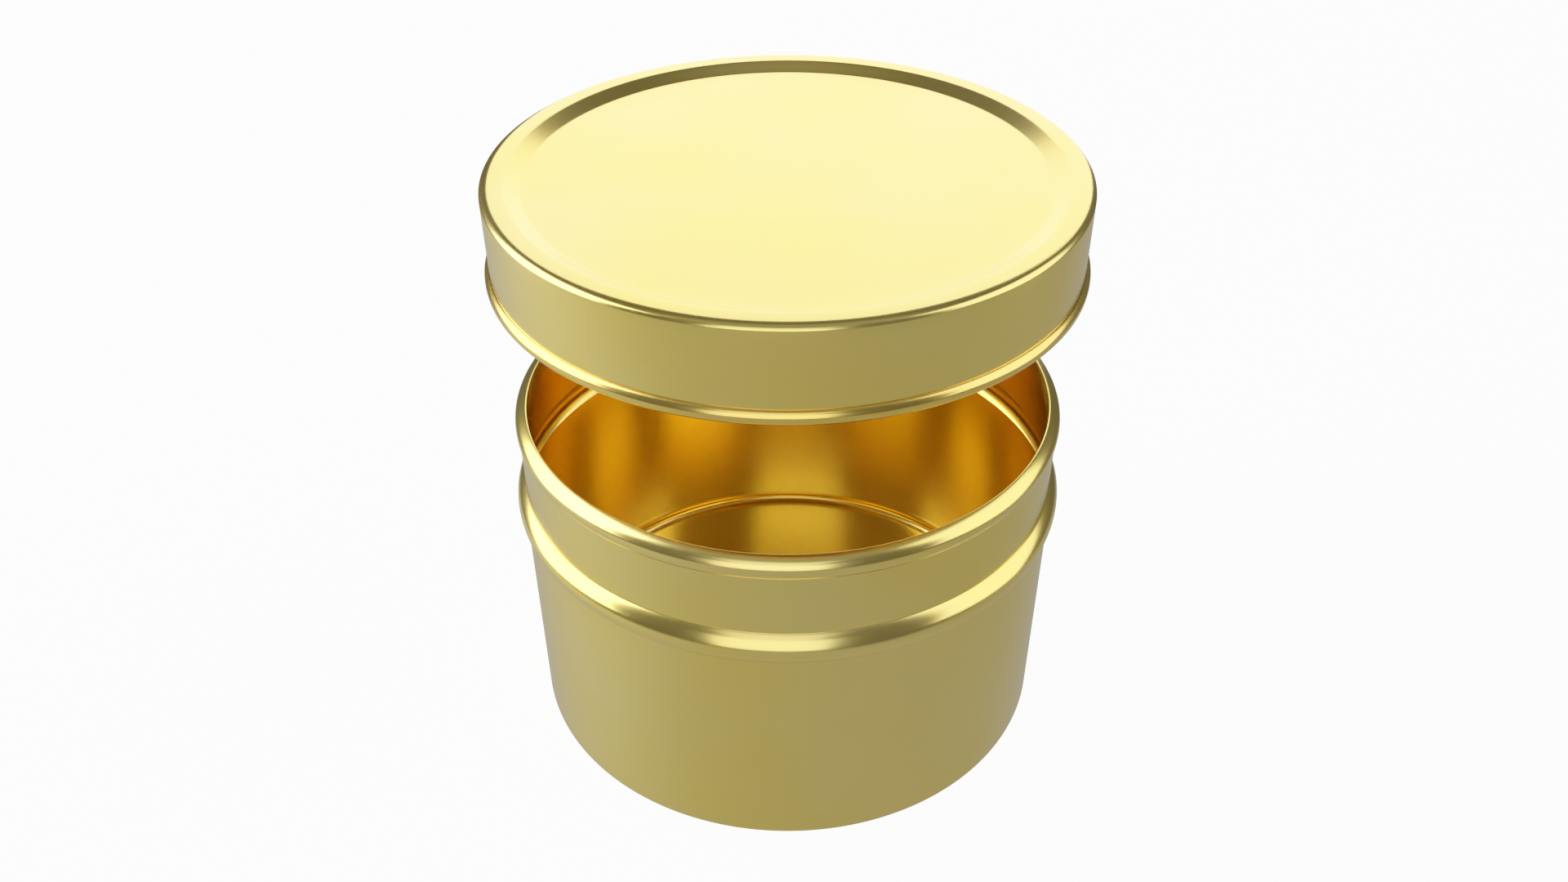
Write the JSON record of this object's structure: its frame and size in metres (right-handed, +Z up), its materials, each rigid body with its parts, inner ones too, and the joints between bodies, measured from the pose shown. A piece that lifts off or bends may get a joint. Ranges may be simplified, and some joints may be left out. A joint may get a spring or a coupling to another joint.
{
  "type": "cookie tin",
  "caption": "Round tinplate cookie tin with a lift-off lid, shown open: rolled rim, pressed stop bead, and a lid with a sunken panel and a curled lower edge.",
  "frame": {"origin": "centre of the face that the tin stands on", "axes": "+Z up along the axis of the round tin and lid; every piece is turned about it, so X and Y are alike"},
  "size_m": [0.1946, 0.1946, 0.2066],
  "materials": {
    "body_tinplate": "satin gold lacquer on tinplate",
    "end_tinplate": "satin gold lacquer on tinplate",
    "seam_compound": "matt grey sealing compound",
    "lid_tinplate": "satin gold lacquer on tinplate"
  },
  "bodies": {
    "tin": {"body_wall": "body_tinplate", "bottom_end": "end_tinplate", "seam_compound": "seam_compound"},
    "lid": {"lid": "lid_tinplate"}
  },
  "joints": [
    {"name": "lid_lift", "type": "slide", "parent": "tin", "child": "lid", "axis": [0, 0, 1], "range_m": [-0.0814, 0]}
  ]
}
